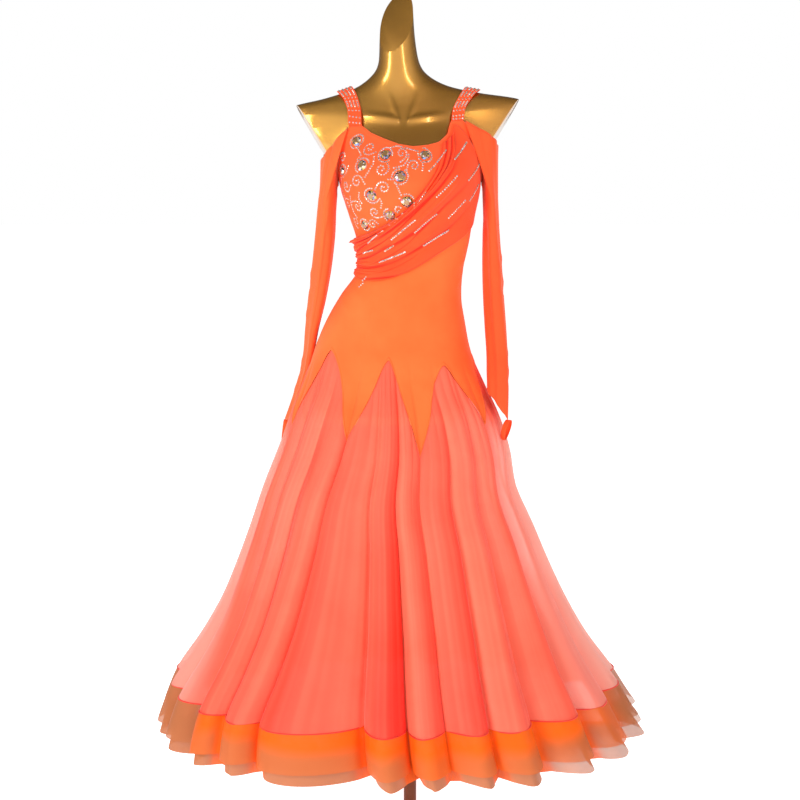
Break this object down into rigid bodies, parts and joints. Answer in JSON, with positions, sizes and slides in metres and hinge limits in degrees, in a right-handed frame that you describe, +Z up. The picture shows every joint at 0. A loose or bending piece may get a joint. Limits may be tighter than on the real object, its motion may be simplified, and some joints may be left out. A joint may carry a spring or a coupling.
{
  "type": "ballroom dance dress on a limbless dress form",
  "caption": "Long ballroom dance dress with separate sleeves, draped sash, zigzag godet skirt and stiff fluted hem, worn on a gold limbless dress form with pole and round base.",
  "frame": {"origin": "centre of the round base's underside, on the floor, on the pole's axis", "axes": "+Z up along the pole, -Y the dress's front, +X the wearer's left side, to the right as seen from the front"},
  "size_m": [0.9946, 0.8153, 1.7453],
  "materials": {
    "gold_lacquer": "glossy gold lacquer",
    "bronze_metal": "bronze toned metal",
    "orange_jersey": "matt stretch jersey",
    "orange_chiffon": "matt chiffon",
    "coral_organza": "sheer satin organza",
    "orange_hem_braid": "stiff translucent horsehair braid"
  },
  "bodies": {
    "root": {"back_panel": "orange_jersey", "dress_form": "gold_lacquer", "finger_loop_left": "orange_jersey", "finger_loop_right": "orange_jersey", "form_base": "bronze_metal", "form_pole": "bronze_metal", "front_panel": "orange_jersey", "godet_1": "coral_organza", "godet_2": "coral_organza", "godet_3": "coral_organza", "godet_4": "coral_organza", "godet_5": "coral_organza", "godet_6": "coral_organza", "godet_7": "coral_organza", "godet_8": "coral_organza", "hem_band": "orange_hem_braid", "sash": "orange_chiffon", "sleeve_left": "orange_jersey", "sleeve_right": "orange_jersey", "strap_left": "orange_jersey", "strap_right": "orange_jersey", "under_hem_band": "orange_hem_braid", "under_skirt": "coral_organza"}
  },
  "joints": []
}
